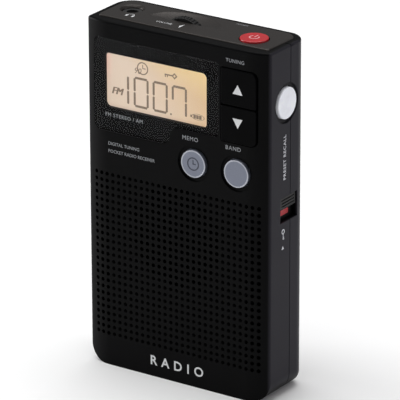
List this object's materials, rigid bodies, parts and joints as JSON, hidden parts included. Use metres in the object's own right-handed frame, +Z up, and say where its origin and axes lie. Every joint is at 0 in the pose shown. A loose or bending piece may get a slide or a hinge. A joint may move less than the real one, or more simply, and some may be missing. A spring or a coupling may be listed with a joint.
{
  "type": "pocket radio receiver",
  "caption": "Black pocket radio with a lit display, tuning keys, round buttons, a perforated front, a volume thumbwheel and a battery door.",
  "frame": {"origin": "centre of the base, halfway between the front face and the back", "axes": "+X to the right of the front face, +Y from front to back, +Z up"},
  "size_m": [0.0659, 0.0224, 0.1123],
  "materials": {
    "shell_black": "semi-gloss",
    "panel_brown": "satin",
    "lens_clear": "polished",
    "mask_black": "printed",
    "display": "lit",
    "guide_white": "polished",
    "inner_black": "moulded",
    "key_black": "semi-gloss",
    "button_grey": "satin metallic",
    "button_white": "satin",
    "button_red": "gloss",
    "knob_black": "moulded",
    "board_green": "solder mask",
    "switch_steel": "plain",
    "chip_black": "moulded",
    "ferrite": "plain",
    "copper": "wound wire",
    "cone_paper": "paper",
    "cell_wrap": "wrapped",
    "contact_nickel": "plated",
    "screw_black": "blackened"
  },
  "bodies": {
    "case": {"front_shell": "shell_black", "rear_shell": "shell_black", "top_panel": "panel_brown", "display_lens": "lens_clear", "display_mask": "mask_black", "display_glass": "display", "light_guide": "guide_white", "display_frame": "inner_black", "rod_cradles": "inner_black", "earphone_socket": "inner_black", "volume_pot": "inner_black", "main_board": "board_green", "side_board": "board_green", "top_board": "board_green", "front_switches": "switch_steel", "preset_switch": "switch_steel", "power_switch": "switch_steel", "lock_switch": "switch_steel", "sound_switch": "switch_steel", "bass_switch": "switch_steel", "board_screws": "switch_steel", "tuner_can": "switch_steel", "tuning_crystal": "switch_steel", "speaker_basket": "switch_steel", "speaker_magnet": "switch_steel", "integrated_circuits": "chip_black", "capacitors": "chip_black", "ferrite_rod": "ferrite", "antenna_coil": "copper", "speaker_cone": "cone_paper", "lower_cell": "cell_wrap", "upper_cell": "cell_wrap", "contact_plates": "contact_nickel", "contact_springs": "contact_nickel", "case_screws": "screw_black"},
    "tuning_up": {"tuning_key_up": "key_black"},
    "tuning_down": {"tuning_key_down": "key_black"},
    "memory": {"memory_button": "button_grey"},
    "band": {"band_button": "button_grey"},
    "power": {"power_button": "button_red"},
    "preset": {"preset_button": "button_white"},
    "lock": {"lock_knob": "knob_black"},
    "sound": {"sound_knob": "knob_black"},
    "bass": {"bass_knob": "knob_black"},
    "volume": {"volume_wheel": "knob_black", "volume_shaft": "switch_steel", "wheel_screw": "switch_steel"},
    "door": {"battery_door": "shell_black"}
  },
  "joints": [
    {"name": "tuning_up_press", "type": "slide", "parent": "case", "child": "tuning_up", "axis": [0, 1, 0], "range_m": [0, 0.0007], "stiffness_N_per_m": 1500, "springref_m": -0.0004},
    {"name": "tuning_down_press", "type": "slide", "parent": "case", "child": "tuning_down", "axis": [0, 1, 0], "range_m": [0, 0.0007], "stiffness_N_per_m": 1500, "springref_m": -0.0004},
    {"name": "memory_press", "type": "slide", "parent": "case", "child": "memory", "axis": [0, 1, 0], "range_m": [0, 0.0007], "stiffness_N_per_m": 1500, "springref_m": -0.0004},
    {"name": "band_press", "type": "slide", "parent": "case", "child": "band", "axis": [0, 1, 0], "range_m": [0, 0.0007], "stiffness_N_per_m": 1500, "springref_m": -0.0004},
    {"name": "power_press", "type": "slide", "parent": "case", "child": "power", "axis": [0, 0, -1], "range_m": [0, 0.0007], "stiffness_N_per_m": 1500, "springref_m": -0.0004},
    {"name": "preset_press", "type": "slide", "parent": "case", "child": "preset", "axis": [-1, 0, 0], "range_m": [0, 0.0007], "stiffness_N_per_m": 1500, "springref_m": -0.0004},
    {"name": "lock_slide", "type": "slide", "parent": "case", "child": "lock", "axis": [0, 0, -1], "range_m": [0, 0.0038]},
    {"name": "sound_slide", "type": "slide", "parent": "case", "child": "sound", "axis": [0, 0, -1], "range_m": [0, 0.0053]},
    {"name": "bass_slide", "type": "slide", "parent": "case", "child": "bass", "axis": [0, 0, -1], "range_m": [0, 0.0033]},
    {"name": "volume_turn", "type": "hinge", "parent": "case", "child": "volume", "pos_m": [-0.0044, 0.0011, 0.1046], "axis": [0, 1, 0], "range_deg": [0, 280]},
    {"name": "door_slide", "type": "slide", "parent": "case", "child": "door", "axis": [0, 0, -1], "range_m": [0, 0.033]}
  ]
}
